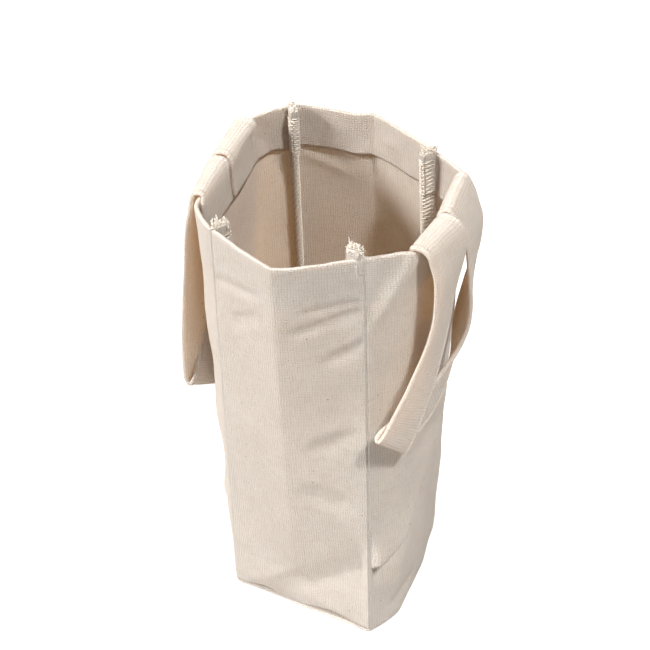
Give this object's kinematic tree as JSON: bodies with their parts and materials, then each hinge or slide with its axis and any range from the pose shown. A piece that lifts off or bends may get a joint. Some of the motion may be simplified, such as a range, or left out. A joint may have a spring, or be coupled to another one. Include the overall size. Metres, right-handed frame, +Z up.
{
  "type": "bottle carrier",
  "caption": "Tall gusseted bottle carrier of cotton canvas, open at the top, with folded strap handles that hang outside its wide faces.",
  "frame": {"origin": "under the middle of the whole, on the surface the bag stands on; the opened bag leans a little, so the middle of its base lies about 3 mm towards the rear right", "axes": "+Z up; +X towards the right handle face; -Y towards the front gusset, which the picture shows"},
  "size_m": [0.1229, 0.1079, 0.2565],
  "materials": {
    "canvas": "unbleached plain-weave cotton canvas with small seed flecks",
    "strap": "the same canvas folded into a strap",
    "thread": "cotton overlock thread"
  },
  "bodies": {
    "bag": {"body_strip": "canvas", "front_gusset": "canvas", "rear_gusset": "canvas", "front_right_overlock": "thread", "front_left_overlock": "thread", "rear_right_overlock": "thread", "rear_left_overlock": "thread", "front_base_overlock": "thread", "rear_base_overlock": "thread", "right_strap_front_end": "strap", "right_strap_rear_end": "strap", "left_strap_front_end": "strap", "left_strap_rear_end": "strap"},
    "right_loop": {"right_handle": "strap"},
    "left_loop": {"left_handle": "strap"}
  },
  "joints": [
    {"name": "right_handle_lift", "type": "hinge", "parent": "bag", "child": "right_loop", "pos_m": [0.04776, 0.00828, 0.2553], "axis": [0, -1, 0], "range_deg": [0, 180]},
    {"name": "left_handle_lift", "type": "hinge", "parent": "bag", "child": "left_loop", "pos_m": [-0.04746, -0.00492, 0.2553], "axis": [0, 1, 0], "range_deg": [0, 180]}
  ]
}
